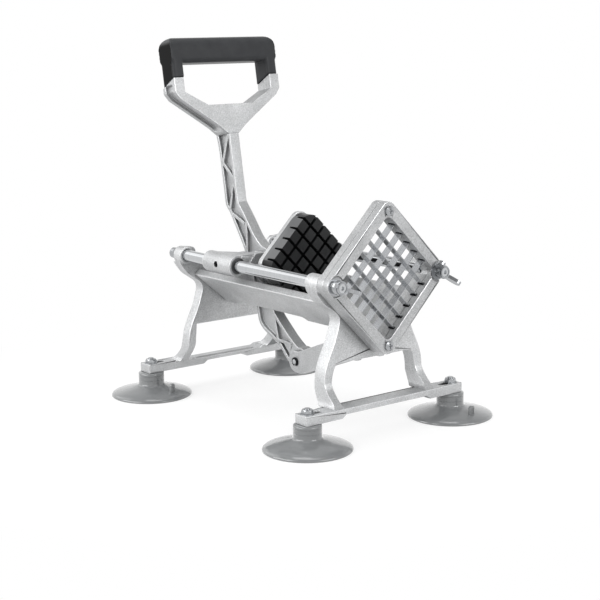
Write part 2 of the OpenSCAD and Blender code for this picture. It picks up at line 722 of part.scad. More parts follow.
module pusher_plate() color(cast) difference() {
    along_x(plate_x, plate_x + plate_t) diamond(block_w, 11);
    at_pusher_screws() bar_x(4 + 2 * fit, plate_x - 1, plate_x + plate_t + 1);
}

module pusher_block() color(black) difference() {
    along_x(plate_x + plate_t, tip_x) diamond(block_w, 15);
    for (i = [1 : cells - 1], q = [45, 135]) translate([0, 0, axis_h]) rotate([q, 0, 0])
        translate([tip_x - pin_len, (i - cells / 2) * pitch - groove / 2, -block_w])
            cube([pin_len + 1, groove, 2 * block_w]);
    at_pusher_screws() bar_x(4 + 2 * fit, plate_x, plate_x + plate_t + 4);
}

module at_pusher_screws() {
    translate([0, 0, axis_h]) for (q = [45 : 90 : 315]) rotate([q, 0, 0])
        translate([0, block_w / 2 - 5.5, 0]) children();
}

module pusher_screws() color(zinc) at_pusher_screws() {
    bar_x(8, plate_x - 3.2, plate_x);
    bar_x(4, plate_x - 1, plate_x + plate_t + 3.5);
}

// Places on the flange that carry the stand-offs
module at_standoffs() {
    for (p = [[-29, -15], [29, -15], [0, -32], [0, 2]]) translate([0, p.x, axis_h + p.y]) children();
}
module pusher_standoffs() color(zinc) at_standoffs() bar_x(standoff_d, flange_x, plate_x);

module lever_pin() color(steel) pin_y(pivot, pivot_d, -cheek_y - cheek_t - 2.5, cheek_y + cheek_t + 2.5);

// Retaining ring of width w on a pin along Y, from y0 outward
module ring_y(p, d, w, y0) {
    along_y(y0, y0 + 1) translate(p) difference() {
        circle(d = d + 2 * w, $fn = 40);
        circle(d = d + 2 * fit, $fn = 40);
        translate([0, -d]) square([d * 0.55, 2 * d], center = true);
    }
}
module lever_pin_rings() color(black) both() ring_y(pivot, pivot_d, 2.5, cheek_y + cheek_t + 0.2);

// ---------- lever ----------

// A point of the lower arm, given for an arm of 59 by 87.5
function arm(x, z) = [x * arm_x / 59, z * arm_z / 87.5];

function lever_front() = concat(
    [[-49.8, 127.8], [-48.35, 122.3]],
    spline([[-36.9, 56.8], [-23.1, 41.3], [-9.5, 24.9], [2.5, 16.3], [13.5, 13], [18.8, 2],
        arm(17, -16), arm(15, -36), arm(19.4, -45.3), arm(33.4, -58), arm(45.8, -68),
        arm(57, -75.2)], 4),
    [arm(59, -87.5) + [0.62, 0.78] * arm_r]);

function lever_rear() = concat(
    [arm(59, -87.5) + [-0.62, -0.78] * arm_r],
    spline([arm(43.5, -92.4), arm(38, -88.1), arm(32, -82.4), arm(26.6, -77.3), arm(17.2, -72.8),
        arm(5.2, -67.3), arm(-1.4, -62.9), arm(-5.6, -57.2), arm(-8.2, -46), arm(-12.5, -29),
        [-17.5, -12], [-27.6, 10.3], [-40.3, 29.5], [-50.8, 44.5],
        [-57.4, 51.9], [-60.4, 66.7], [-64, 86.6], [-67.6, 106.4], [-72.3, 122], [-73.25, 127.5]], 4));

function lever_outline() = [for (p = concat(lever_front(), lever_rear())) p + pivot];

// Ribs that cross the lever's side pockets, from the pivot
ribs = [[[-52, 123], [-61.4, 94.7]], [[-63, 95], [-43.6, 79.2]], [[-43, 80], [-46.9, 64.4]],
    [[-46.9, 65], [-51.5, 45]], [[-54, 46.8], [-26.8, 36.3]], [[-25, 38], [-23.3, 27.5]],
    [[-23.3, 28], [-23.4, 3]], [[18.5, -45], [26.5, -78]], [[16, -72], [48, -74]]];

// Full thickness beside the lower end, with a groove left along the rear rim
function arm_land() = [arm(33.5, -73), arm(40, -79.4), arm(46, -85), arm(52, -92), arm(59, -98),
    arm(62, -80), arm(50, -74)];

module rib(a, b, w) {
    translate(pivot + a) rotate(atan2(b.y - a.y, b.x - a.x)) translate([0, -w / 2])
        square([norm(b - a), w]);
}

// Yoke: drawing of (Y, height) in the neck's own frame
function yoke_outer() = [[1, 1.6], [lever_w / 2 + 0.4, 1.6], [8, 3], [15, 9], [26.5, 16.9],
    [yoke_w / 2 - 5, 38], [yoke_w / 2, 44.5], [yoke_w / 2, 62]];
function yoke_inner() = [[yoke_w / 2 - 11.1, 62], [yoke_w / 2 - 11.1, 44.5], [26.5, 30.8], [0, 30.8]];

// Puts a body drawn round the neck's base into its leaning place
module on_neck() {
    translate([neck.x, 0, neck.y]) rotate([0, -neck_lean, 0]) children();
}

module yoke() on_neck() difference() {
    along_x(-yoke_d, 0) polygon(concat(yoke_outer(), yoke_inner(), mirrored(yoke_inner()),
        mirrored(yoke_outer())));
    joint_wedge();
    // channel along the outer side
    both() along_x(-yoke_d + 5, -5) polygon([[9.2, 1], [26.5, 13.4], [yoke_w / 2 - 5, 34],
        [yoke_w / 2 + 3, 44], [yoke_w / 2 + 3, 54], [yoke_w / 2 - 3.5, 51], [yoke_w / 2 - 3.5, 46],
        [yoke_w / 2 - 8, 40], [26.5, 20.6], [14, 12.2], [10.6, 8.6]]);
}

// Everything above the slanted joint
module joint_wedge() {
    along_y(-yoke_w, yoke_w) polygon([[1, 59.2], [-yoke_d - 1, 59.2 - (yoke_d + 1) * tan(22)],
        [-yoke_d - 1, 130], [1, 130]]);
}

module lever() color(cast) difference() {
    union() {
        difference() {
            union() {
                along_y(-lever_w / 2, lever_w / 2) polygon(lever_outline());
                pin_y(pivot, 2 * 17, -lever_w / 2, lever_w / 2);
                pin_y(elbow, 2 * arm_r, -lever_w / 2, lever_w / 2);
            }
            // side pockets that leave a rim, a web and ribs
            both() along_y(lever_web / 2, lever_w) difference() {
                polygon(inset(lever_outline(), -lever_rim));
                translate(pivot) circle(14, $fn = 40);
                translate(elbow) circle(arm_r + 3, $fn = 40);
                polygon([for (p = arm_land()) p + pivot]);
                for (r = ribs) rib(r[0], r[1], 3);
            }
        }
        yoke();
    }
    pin_y(pivot, pivot_d + 2 * fit, -lever_w, lever_w);
    pin_y(elbow, elbow_pin_d + 2 * fit, -lever_w, lever_w);
}

// ---------- grip ----------

// Side view of the crossbar: round on top, with softer corners below
module bar_side() translate([-yoke_d / 2, grip_top]) union() {
    r = grip_d / 2;
    translate([0, -r]) circle(r, $fn = 64);
    translate([-r, 5 - grip_bar]) square([grip_d, grip_bar - r - 5]);
    translate([5 - r, -grip_bar]) square([grip_d - 10, 6]);
    for (x = [-1, 1]) translate([x * (r - 5), 5 - grip_bar]) circle(5, $fn = 48);
}

// Front view of the grip's outer shape, down to the joint
module grip_front() {
    w = yoke_w / 2;
    translate([-w, 0]) square([2 * w, grip_top - grip_r]);
    translate([grip_r - w, 0]) square([2 * (w - grip_r), grip_top]);
    for (s = [-1, 1]) translate([s * (w - grip_r), grip_top - grip_r]) circle(grip_r, $fn = 48);
}

// Plan of one arm with rounded corners
module arm_plan() translate([-yoke_d / 2, (yoke_w - grip_arm) / 2]) union() {
    square([grip_d - 8, grip_arm], center = true);
    translate([0, -1]) square([grip_d, grip_arm - 6], center = true);
    for (x = [-1, 1]) {
        translate([x * (grip_d / 2 - 4), grip_arm / 2 - 4]) circle(4, $fn = 40);
        translate([x * (grip_d / 2 - 2), 2 - grip_arm / 2]) circle(2, $fn = 32);
        translate([x * (grip_d / 2 - 3), 0]) square([2, grip_arm - 4], center = true);
    }
}

module grip() color(black) difference() {
    on_neck() intersection() {
        union() {
            along_y(-yoke_w / 2, yoke_w / 2) bar_side();
            both() linear_extrude(grip_top) arm_plan();
        }
        along_x(-yoke_d, yoke_d) grip_front();
        along_y(-yoke_w, yoke_w) union() {
            translate([-yoke_d / 2, grip_top - grip_d / 2]) circle(grip_d / 2, $fn = 64);
            translate([-(yoke_d + grip_d) / 2, 0]) square([grip_d, grip_top - grip_d / 2]);
        }
    }
    on_neck() along_y(-yoke_w, yoke_w) polygon([[9, 59.5 + 9 * tan(22)],
        [-yoke_d - 9, 59.5 - (yoke_d + 9) * tan(22)], [-yoke_d - 9, -9], [9, -9]]);
}

// ---------- link ----------

// Puts a drawing made along +X from the elbow into the link's place
module on_link() {
    translate(elbow) rotate(link_angle) children();
}

module link_side() on_link() union() {
    circle(link_r, $fn = 48);
    translate([link_l, 0]) circle(link_r + 0.5, $fn = 48);
    polygon(concat([[0, -link_r]], spline([[0.5, -link_r], [8, -link_low + 0.5], [17, -link_low],
        [28, -link_low + 0.2], [link_l * 0.8, -link_r - 1], [link_l, -link_r - 0.5]], 4),
        spline([[link_l, link_r + 0.5], [link_l * 0.8, link_high + 0.8], [40, link_high],
        [20, link_high - 1.1], [8, link_high - 1.6], [3, link_high + 0.1]], 4), [[0, link_r]]));
}

module link() color(cast) difference() {
    along_y(-link_y, link_y) link_side();
    along_y(-cheek_y, cheek_y) on_link() translate([-link_r - 1, -link_low - 2])
        square([link_r + 1 + link_slot, 2 * link_low + 4]);
    pin_y(elbow, elbow_pin_d + 2 * fit, -link_y - 1, link_y + 1);
    pin_y(anchor, link_pin_d + 2 * fit, -link_y - 1, link_y + 1);
}

module link_pin() color(steel) pin_y(elbow, elbow_pin_d, -link_y - 1.8, link_y + 1.8);
module link_pin_rings() color(black) both() ring_y(elbow, elbow_pin_d, 1.75, link_y + 0.2);

front_frame();
rear_frame();
trough();
guide_rod_left();
guide_rod_right();
rod_end_nuts();
blade_frame_front();
blade_frame_back();
blades_rising();
blades_falling();
blade_frame_screws();
wing_nut_left();
wing_nut_right();
wing_nut_washers();
cup_front_left();
cup_front_right();
cup_rear_left();
cup_rear_right();
cup_studs();
cup_nuts();
cup_washers();
anchor_pins();
carriage();
bushings();
set_screws();
pusher_plate();
pusher_block();
pusher_screws();
pusher_standoffs();
lever_pin();
lever_pin_rings();
lever();
grip();
link();
link_pin();
link_pin_rings();
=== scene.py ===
import json
import math

import bpy
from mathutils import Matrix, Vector
from mathutils.bvhtree import BVHTree


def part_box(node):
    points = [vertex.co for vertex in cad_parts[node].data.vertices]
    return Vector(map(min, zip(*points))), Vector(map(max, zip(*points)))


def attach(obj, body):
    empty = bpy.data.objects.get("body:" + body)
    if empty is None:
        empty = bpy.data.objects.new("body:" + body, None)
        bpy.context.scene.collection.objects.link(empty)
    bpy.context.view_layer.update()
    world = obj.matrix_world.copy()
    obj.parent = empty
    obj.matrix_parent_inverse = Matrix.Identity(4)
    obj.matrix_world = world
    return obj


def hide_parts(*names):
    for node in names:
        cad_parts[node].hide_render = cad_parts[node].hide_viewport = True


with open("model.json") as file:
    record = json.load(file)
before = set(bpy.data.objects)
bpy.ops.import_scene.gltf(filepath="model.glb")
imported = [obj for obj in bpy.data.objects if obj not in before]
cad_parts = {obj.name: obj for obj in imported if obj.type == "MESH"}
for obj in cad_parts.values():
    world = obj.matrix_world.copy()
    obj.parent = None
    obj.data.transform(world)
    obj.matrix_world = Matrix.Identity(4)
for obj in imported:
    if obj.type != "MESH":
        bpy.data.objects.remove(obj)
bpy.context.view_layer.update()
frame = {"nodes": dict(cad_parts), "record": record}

MM = 0.001


# ---------- front and rear castings, and the food trough ----------
# Two end plates, each with its legs and foot bar, and the V-shaped trough between them.
# Gravity die-cast aluminium, tumbled with stones after casting, and bored for the rods.

def linear(srgb):
    """Linear RGBA of an sRGB hex colour."""
    parts = [int(srgb[i:i + 2], 16) / 255 for i in (1, 3, 5)]
    return [c / 12.92 if c <= 0.04045 else ((c + 0.055) / 1.055) ** 2.4 for c in parts] + [1]


def add(tree, kind, inputs=(), **settings):
    """Adds one node; inputs are (socket, value or the socket that feeds it) pairs."""
    made = tree.nodes.new("ShaderNode" + kind)
    for key, value in settings.items():
        setattr(made, key, value)
    for socket, value in inputs:
        if isinstance(value, bpy.types.NodeSocket):
            tree.links.new(value, made.inputs[socket])
        else:
            made.inputs[socket].default_value = value
    return made


# a Mix node's two colours and their mixture, and its two numbers and theirs, by socket
COLOUR_A, COLOUR_B, COLOUR_OUT = 6, 7, 2
NUMBER_A, NUMBER_B, NUMBER_OUT = 2, 3, 0


def finish_named(name):
    """A new material with its shader, and where things lie on the piece."""
    material = bpy.data.materials.new(name)
    material.use_nodes = True
    tree = material.node_tree
    shader = tree.nodes["Principled BSDF"]
    place = add(tree, "TexCoord").outputs["Object"]
    return material, tree, shader, place


def cast_finish(name, dark, light, arris_rough=0.25):
    """Tumbled cast aluminium: cloudy tone, fine grit, arrises lighter as wear and a painted
    highlight, and painted shade in pockets.
    """
    material, tree, shader, place = finish_named(name)
    # the stones leave clouds about as wide as a thumb
    cloud_mm = 22
    # real grit is about 0.2 mm; it is drawn coarser so that it shows
    grit_mm = 1.05
    clouds = add(tree, "TexNoise", [("Vector", place), ("Scale", 1 / (cloud_mm * MM)),
                                    ("Detail", 3)])
    grit = add(tree, "TexNoise", [("Vector", place), ("Scale", 1 / (grit_mm * MM)),
                                  ("Detail", 2.5), ("Roughness", 0.65)])
    cloud_share = 0.28
    tone = add(tree, "Math", [(0, grit.outputs["Fac"]), (1, 1 - cloud_share)],
               operation="MULTIPLY")
    tone = add(tree, "Math", [(0, clouds.outputs["Fac"]), (1, cloud_share), (2, tone.outputs[0])],
               operation="MULTIPLY_ADD")
    colour = add(tree, "ValToRGB", [("Fac", tone.outputs[0])])
    for stop, position, shade in ((0, 0.36, dark), (1, 0.64, light)):
        colour.color_ramp.elements[stop].position = position
        colour.color_ramp.elements[stop].color = linear(shade)

    # arrises are where a rounded normal leaves the true one; their colour is made lighter, partly
    # wear rubbed by the stones and partly a painted highlight
    rounded = add(tree, "Bevel", [("Radius", 1.1 * MM)], samples=4)
    flat = add(tree, "NewGeometry")
    turn = add(tree, "VectorMath", [(0, rounded.outputs[0]), (1, flat.outputs["Normal"])],
               operation="DOT_PRODUCT")
    arris_wear_and_highlight = add(tree, "MapRange", [("Value", turn.outputs["Value"]), ("From Min", 0.995),
                                  ("From Max", 0.86)])
    painted_sheen = add(tree, "Mix", [("Factor", arris_wear_and_highlight.outputs[0]), (COLOUR_A, colour.outputs["Color"]),
                               (COLOUR_B, linear("#f2f3f4"))], data_type="RGBA")

    # pockets and corners are painted darker: painted shade where the light reaches less
    shade_reach_mm = 10
    painted_pocket_shade = add(tree, "AmbientOcclusion", [("Distance", shade_reach_mm * MM)], samples=8)
    painted_pocket_shade = add(tree, "MapRange", [("Value", painted_pocket_shade.outputs["AO"]), ("From Min", 0.2),
                                   ("From Max", 0.75), ("To Min", 0.4)])
    pocket_shaded = add(tree, "Mix", [("Factor", 1.0), (COLOUR_A, painted_sheen.outputs[COLOUR_OUT]),
                               (COLOUR_B, painted_pocket_shade.outputs[0])],
                 data_type="RGBA", blend_type="MULTIPLY")
    tree.links.new(pocket_shaded.outputs[COLOUR_OUT], shader.inputs["Base Color"])

    satin = add(tree, "MapRange", [("Value", grit.outputs["Fac"]), ("From Min", 0.3),
                                   ("From Max", 0.7), ("To Min", 0.4), ("To Max", 0.52)])
    smooth = add(tree, "Mix", [("Factor", arris_wear_and_highlight.outputs[0]), (NUMBER_A, satin.outputs[0]),
                               (NUMBER_B, arris_rough)])
    tree.links.new(smooth.outputs[NUMBER_OUT], shader.inputs["Roughness"])
    bump = add(tree, "Bump", [("Height", grit.outputs["Fac"]), ("Strength", 0.35),
                              ("Distance", 0.12 * MM)])
    tree.links.new(bump.outputs[0], shader.inputs["Normal"])
    # the cast skin is dull with oxide, so it is less of a mirror than clean metal
    shader.inputs["Metallic"].default_value = 0.65
    return material


def select_only(first, *others):
    """Selects these objects and no others; the first is the active one."""
    bpy.ops.object.select_all(action="DESELECT")
    for part in (first, *others):
        part.select_set(True)
    bpy.context.view_layer.objects.active = first


def work_on_mesh(*steps):
    """Runs each step on the whole mesh of the active piece, in edit mode."""
    bpy.ops.object.mode_set(mode="EDIT")
    bpy.ops.mesh.select_all(action="SELECT")
    for step in steps:
        step()
    bpy.ops.object.mode_set(mode="OBJECT")


def merge_points():
    bpy.ops.mesh.remove_doubles(threshold=0.001 * MM)


def merge_flats():
    bpy.ops.mesh.dissolve_limited(angle_limit=math.radians(0.6))


def to_triangles():
    bpy.ops.mesh.quads_convert_to_tris(quad_method="BEAUTY", ngon_method="BEAUTY")


def cad_copy(node, *steps):
    """A merged copy of a CAD node's shape, selected on its own, after these steps."""
    piece = bpy.data.objects.new(node + "_shown", frame["nodes"][node].data.copy())
    bpy.context.collection.objects.link(piece)
    select_only(piece)
    bpy.ops.mesh.customdata_custom_splitnormals_clear()
    work_on_mesh(merge_points, *steps)
    return piece


def modify(piece, kind, **settings):
    """Puts one modifier on the active piece and applies it."""
    made = piece.modifiers.new(kind, kind)
    for key, value in settings.items():
        setattr(made, key, value)
    bpy.ops.object.modifier_apply(modifier=made.name)


def shade_flats_and_curves(piece):
    """Curves are shaded smooth, and the wide faces keep their own flat shading."""
    bpy.ops.object.shade_smooth_by_angle(angle=math.radians(35))
    modify(piece, "WEIGHTED_NORMAL", mode="FACE_AREA", weight=90, keep_sharp=True)


def rounded_copy(node, arris_mm, cutter=None):
    """A casting's shape with its arrises rounded, after the cutter has cut its reliefs."""
    piece = cad_copy(node, merge_flats, to_triangles)
    if cutter:
        modify(piece, "BOOLEAN", operation="DIFFERENCE", solver="EXACT", object=cutter)
    modify(piece, "BEVEL", width=arris_mm * MM, segments=2, limit_method="ANGLE",
           angle_limit=math.radians(30), use_clamp_overlap=False, miter_outer="MITER_ARC")
    # where arrises crowd together a rounding can shoot past the casting: it is laid back on it
    cast_shape = frame["nodes"][node].data
    skin = BVHTree.FromPolygons([point.co for point in cast_shape.vertices],
                                [face.vertices for face in cast_shape.polygons])
    for point in piece.data.vertices:
        nearest, normal, _, distance = skin.find_nearest(point.co)
        outside = (point.co - nearest).dot(normal) > 0
        if distance > 0.5 * arris_mm * MM and (outside or not cutter):
            point.co = nearest
    work_on_mesh(to_triangles)
    shade_flats_and_curves(piece)
    return piece


def stand_for(piece, node, material):
    """Finishes a piece and hands it over as what is seen of a CAD node."""
    piece.data.materials.clear()
    piece.data.materials.append(material)
    bodies = frame["record"]["behaviour"]["bodies"]
    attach(piece, next(body for body, nodes in bodies.items() if node in nodes))
    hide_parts(node)


# the lightest copy of the casting, painted lighter for the light on its wide open faces: pale satin
# grey with a grain that glitters a little
frame_casting = cast_finish("tumbled_cast_aluminium_frames", "#abacad", "#d9dadb")
for node in ("front_frame", "rear_frame", "trough"):
    stand_for(rounded_copy(node, 0.7), node, frame_casting)


# ---------- guide rods and pivot pins ----------
# The two bars that the carriage slides on, and the pins that the lever and the link turn on.
# Centreless-ground steel, polished and chromed, with turned ends that pass through the castings.

def polished_finish(name, dark, light, rough, line_mm, axis):
    """Polished metal with fine lines left across one axis of the object."""
    material, tree, shader, place = finish_named(name)
    along_mm = 40
    stretch = [1 / (along_mm * MM)] * 3
    stretch[axis] = 1 / (line_mm * MM)
    laid = add(tree, "Mapping", [("Vector", place), ("Scale", stretch)])
    lines = add(tree, "TexNoise", [("Vector", laid.outputs[0]), ("Scale", 1), ("Detail", 3)])
    tone = add(tree, "Mix", [("Factor", lines.outputs["Fac"]), (COLOUR_A, linear(dark)),
                             (COLOUR_B, linear(light))], data_type="RGBA")
    tree.links.new(tone.outputs[COLOUR_OUT], shader.inputs["Base Color"])
    gloss = add(tree, "MapRange", [("Value", lines.outputs["Fac"]), ("To Min", rough * 0.7),
                                   ("To Max", rough * 1.4)])
    tree.links.new(gloss.outputs[0], shader.inputs["Roughness"])
    bump = add(tree, "Bump", [("Height", lines.outputs["Fac"]), ("Strength", 0.08),
                              ("Distance", 0.02 * MM)])
    tree.links.new(bump.outputs[0], shader.inputs["Normal"])
    shader.inputs["Metallic"].default_value = 1
    return material


def dress_node(node, material):
    """Gives a CAD node, whose shape is right as it is, its finish."""
    for slot in frame["nodes"][node].material_slots:
        slot.material = material


X_AXIS, Y_AXIS = 0, 1

# almost a mirror, with faint rings round the bar that soften a highlight's ends; real grinding
# lines are some hundredths of a millimetre apart, and these are drawn coarser so that they show
chromed = polished_finish("ground_chromed_steel", "#b4b6b8", "#cfd1d3", rough=0.1, line_mm=0.5,
                          axis=X_AXIS)
for node in ("guide_rod_left", "guide_rod_right", "lever_pin", "link_pin", "anchor_pins"):
    dress_node(node, chromed)

# ---------- screws, nuts, washers, wing nuts and stand-offs ----------
# Bought steel fasteners, cold-headed or turned, and bright zinc-plated. They hold the rods, the
# blade frame, the cups and the pusher plate.

# a dull, slightly blue gloss with turning marks, drawn coarser than real ones so that they show
plated = polished_finish("zinc_plated_steel", "#8a8c8f", "#c0c2c4", rough=0.2, line_mm=0.6,
                         axis=X_AXIS)
for node in ("rod_end_nuts", "wing_nut_washers", "blade_frame_screws", "cup_studs", "cup_nuts",
             "cup_washers", "pusher_screws", "pusher_standoffs", "wing_nut_left",
             "wing_nut_right"):
    dress_node(node, plated)

# ---------- set screws and retaining rings ----------
# Spring steel, hardened and phosphated. The set screws hold the bushings in the carriage's
# sleeves, and the rings snap into grooves at the ends of the pivot pins.

# nearly black, with a soft oily sheen
phosphated = polished_finish("phosphated_spring_steel", "#1c1d1f", "#2a2b2d", rough=0.35,
                             line_mm=0.5, axis=Y_AXIS)
for node in ("set_screws", "lever_pin_rings", "link_pin_rings"):
    dress_node(node, phosphated)


# ---------- blade frame ----------
# A square frame on its corner, in a front and a back half that clamp the blades' ends between
# them. Die-cast aluminium, tumbled, held by two screws and by the wing nuts on the rods.

def add_box(size, centre=(0, 0, 0)):
    """A box as the start of a shape, with its place and size in its mesh."""
    bpy.ops.object.select_all(action="DESELECT")
    bpy.ops.mesh.primitive_cube_add(size=1, location=centre)
    made = bpy.context.active_object
    made.scale = size
    bpy.ops.object.transform_apply(location=True, rotation=True, scale=True)
    return made


def placed_copy(part, place, turn=(0, 0, 0), stretch=(1, 1, 1)):
    """A copy with its own mesh, stretched, turned by degrees and placed, all in its mesh."""
    made = part.copy()
    made.data = part.data.copy()
    bpy.context.collection.objects.link(made)
    made.location = place
    made.rotation_euler = [math.radians(angle) for angle in turn]
    made.scale = stretch
    select_only(made)
    bpy.ops.object.transform_apply(location=True, rotation=True, scale=True)
    return made


def joined(first, *others):
    """The first object, with the others' meshes joined to its own."""
    select_only(first, *others)
    bpy.ops.object.join()
    return first


frame_low, frame_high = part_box("blade_frame_front")
axis_height = (frame_low[2] + frame_high[2]) / 2


def stand_on_corner(part):
    """Turns a part that is square to Y and Z onto its corner, round the cutting axis."""
    select_only(part)
    part.rotation_euler = (math.radians(45), 0, 0)
    part.location = (0, 0, axis_height)
    bpy.ops.object.transform_apply(location=True, rotation=True, scale=True)


# each blade's end stands in a relief that is wider than the blade and open to the window
window_half = 40.5
blade_pitch = 12.7
relief_wide, relief_long, relief_centre = 2.6, 5, window_half + 1
blade_low, blade_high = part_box("blades_rising")
blade_middle = (blade_low[0] + blade_high[0]) / 2
relief_deep = blade_high[0] - blade_low[0] + 0.8 * MM
relief = add_box((relief_deep, relief_wide * MM, relief_long * MM))
reliefs = []
for blade_number in range(-2, 3):
    across = blade_number * blade_pitch * MM
    for end in (-relief_centre * MM, relief_centre * MM):
        reliefs.append(placed_copy(relief, (blade_middle, across, end)))
        reliefs.append(placed_copy(relief, (blade_middle, end, across), turn=(90, 0, 0)))
bpy.data.objects.remove(relief)
reliefs = joined(*reliefs)
stand_on_corner(reliefs)

# a touch darker than the frames, a painted shade, with brighter arrises
blade_casting = cast_finish("tumbled_cast_aluminium_blade_frame", "#9c9d9e", "#cacbcc",
                            arris_rough=0.2)
for node in ("blade_frame_front", "blade_frame_back"):
    stand_for(rounded_copy(node, 0.8, cutter=reliefs), node, blade_casting)
bpy.data.objects.remove(reliefs)

# ---------- blades ----------
# Ten strips of stainless steel, notched to half their depth so that each five cross the other
# five. Rolled, punched and ground, and clamped at both ends in the blade frame.

# grey and half glossy, with rolling lines drawn coarser than real ones so that they show
strip = polished_finish("stainless_strip", "#7e8083", "#c2c4c6", rough=0.2, line_mm=0.4,
                        axis=X_AXIS)
for node in ("blades_rising", "blades_falling"):
    dress_node(node, strip)


# ---------- suction cups ----------
# Four round cups that hold the cutter to the table, each with a pull tab that lets air in.
# Soft PVC, moulded in one piece with its post, which a steel stud holds under the foot bar.

def moulded_finish(name, dark, light, rough, grain_mm, coat=0.0, shine=0.5):
    """Moulded plastic: slow clouds of tone and a fine grain in its gloss."""
    material, tree, shader, place = finish_named(name)
    cloud_mm = 14
    clouds = add(tree, "TexNoise", [("Vector", place), ("Scale", 1 / (cloud_mm * MM)),
                                    ("Detail", 4)])
    grain = add(tree, "TexNoise", [("Vector", place), ("Scale", 1 / (grain_mm * MM)),
                                   ("Detail", 2)])
    tone = add(tree, "Mix", [("Factor", clouds.outputs["Fac"]), (COLOUR_A, linear(dark)),
                             (COLOUR_B, linear(light))], data_type="RGBA")
    tree.links.new(tone.outputs[COLOUR_OUT], shader.inputs["Base Color"])
    gloss = add(tree, "MapRange", [("Value", grain.outputs["Fac"]), ("To Min", rough - 0.06),
                                   ("To Max", rough + 0.08)])
    tree.links.new(gloss.outputs[0], shader.inputs["Roughness"])
    bump = add(tree, "Bump", [("Height", grain.outputs["Fac"]), ("Strength", 0.15),
                              ("Distance", 0.1 * MM)])
    tree.links.new(bump.outputs[0], shader.inputs["Normal"])
    shader.inputs["Coat Weight"].default_value = coat
    shader.inputs["Coat Roughness"].default_value = 0.07
    shader.inputs["Specular IOR Level"].default_value = shine
    return material


# mid grey and wet-looking, as plasticiser sweats out of soft PVC and lies on it like a lacquer;
# its grain is the mould's, drawn coarser so that it shows
cup_pvc = moulded_finish("moulded_grey_pvc", "#727475", "#828485", 0.22, grain_mm=1.2, coat=1.0)

cup_radius = 40
lip_low, lip_high = 0.6, 1.3
# upper side from the lip inward, as radius and height: dome, fillet, and post with mould rings
dome = [(39.5, 2.3), (38.3, 3.2), (36.7, 3.95), (34.2, 4.9), (31, 5.85), (27.6, 6.75),
        (24, 7.65), (20.4, 8.55), (17.2, 9.3), (15.2, 9.85), (14.1, 10.3), (13.3, 10.9),
        (12.9, 11.7), (12.75, 12.8), (12.75, 15.2), (12.45, 15.5), (12.45, 16.0), (12.75, 16.3),
        (12.75, 19.6), (12.45, 19.9), (12.45, 20.3), (12.75, 20.6), (12.75, 22.3), (12.35, 22.9),
        (11.7, 23.2)]
# under side from the lip inward: the sealing edge, and the hollow over the table
bowl = [(39.4, 0.02), (37.4, 0.02), (35.2, 1.1), (28, 1.7), (20, 2.1), (9, 2.4)]
bore_radius, bore_floor = 2.55, 7


def pick_faces(part, wanted):
    """In edit mode, selects only the faces for which wanted(centre, normal) holds."""
    bpy.ops.mesh.select_mode(type="FACE")
    bpy.ops.mesh.select_all(action="DESELECT")
    bpy.ops.object.mode_set(mode="OBJECT")
    for face in part.data.polygons:
        face.select = wanted(face.center, face.normal)
    bpy.ops.object.mode_set(mode="EDIT")


def pick_edges(part, wanted):
    """In edit mode, selects only the edges for which wanted(one end, other end) holds."""
    bpy.ops.mesh.select_mode(type="EDGE")
    bpy.ops.mesh.select_all(action="DESELECT")
    bpy.ops.object.mode_set(mode="OBJECT")
    for edge in part.data.edges:
        one, other = [part.data.vertices[i].co for i in edge.vertices]
        edge.select = wanted(one, other)
    bpy.ops.object.mode_set(mode="EDIT")


def draw_in(profile, height):
    """Extrudes the picked face, at the cup's radius and this height, along a profile."""
    radius = cup_radius
    for r, z in profile:
        bpy.ops.mesh.extrude_region_move(
            TRANSFORM_OT_translate={"value": (0, 0, (z - height) * MM)})
        bpy.ops.transform.resize(value=(r / radius, r / radius, 1))
        radius, height = r, z
    return radius, height


bpy.ops.object.select_all(action="DESELECT")
bpy.ops.mesh.primitive_cylinder_add(vertices=96, radius=cup_radius * MM,
                                    depth=(lip_high - lip_low) * MM,
                                    location=(0, 0, (lip_low + lip_high) / 2 * MM))
cup = bpy.context.active_object
bpy.ops.object.transform_apply(location=True)
bpy.ops.object.mode_set(mode="EDIT")
pick_faces(cup, lambda centre, normal: normal.z > 0.9)
post_radius, post_top = draw_in(dome, lip_high)
# bore for the stud
bpy.ops.mesh.inset(thickness=(post_radius - bore_radius) * MM)
bpy.ops.mesh.extrude_region_move(
    TRANSFORM_OT_translate={"value": (0, 0, (bore_floor - post_top) * MM)})
pick_faces(cup, lambda centre, normal: normal.z < -0.9 and centre.z < 1 * MM)
draw_in(bowl, lip_low)
bpy.ops.object.mode_set(mode="OBJECT")

# pull tab: an upright tongue with a round top and three finger ribs
tab_thick, tab_wide, tab_tall, tab_round = 2.4, 6, 10.4, 2.6
tab_x, tab_z = 28.3, 9.8
tab = add_box((tab_thick * MM, tab_wide * MM, tab_tall * MM), (tab_x * MM, 0, tab_z * MM))
bpy.ops.object.mode_set(mode="EDIT")
pick_edges(tab, lambda one, other: (min(one.z, other.z) > tab_z * MM
                                    and abs(one.x - other.x) > 1 * MM))
bpy.ops.mesh.bevel(offset=tab_round * MM, segments=8, affect="EDGES")
bpy.ops.object.mode_set(mode="OBJECT")
rib_radius, rib_stretch, rib_spacing = 0.62, 5.6, 1.8
rib_x, rib_z = 29.5, 10.2
bpy.ops.object.select_all(action="DESELECT")
bpy.ops.mesh.primitive_uv_sphere_add(segments=16, ring_count=10, radius=rib_radius * MM)
rib = bpy.context.active_object
ribs = [placed_copy(rib, (rib_x * MM, y * MM, rib_z * MM), stretch=(1, 1, rib_stretch))
        for y in (-rib_spacing, 0, rib_spacing)]
bpy.data.objects.remove(rib)
joined(tab, *ribs)
modify(tab, "BEVEL", width=0.35 * MM, segments=2, limit_method="ANGLE",
       angle_limit=math.radians(40))

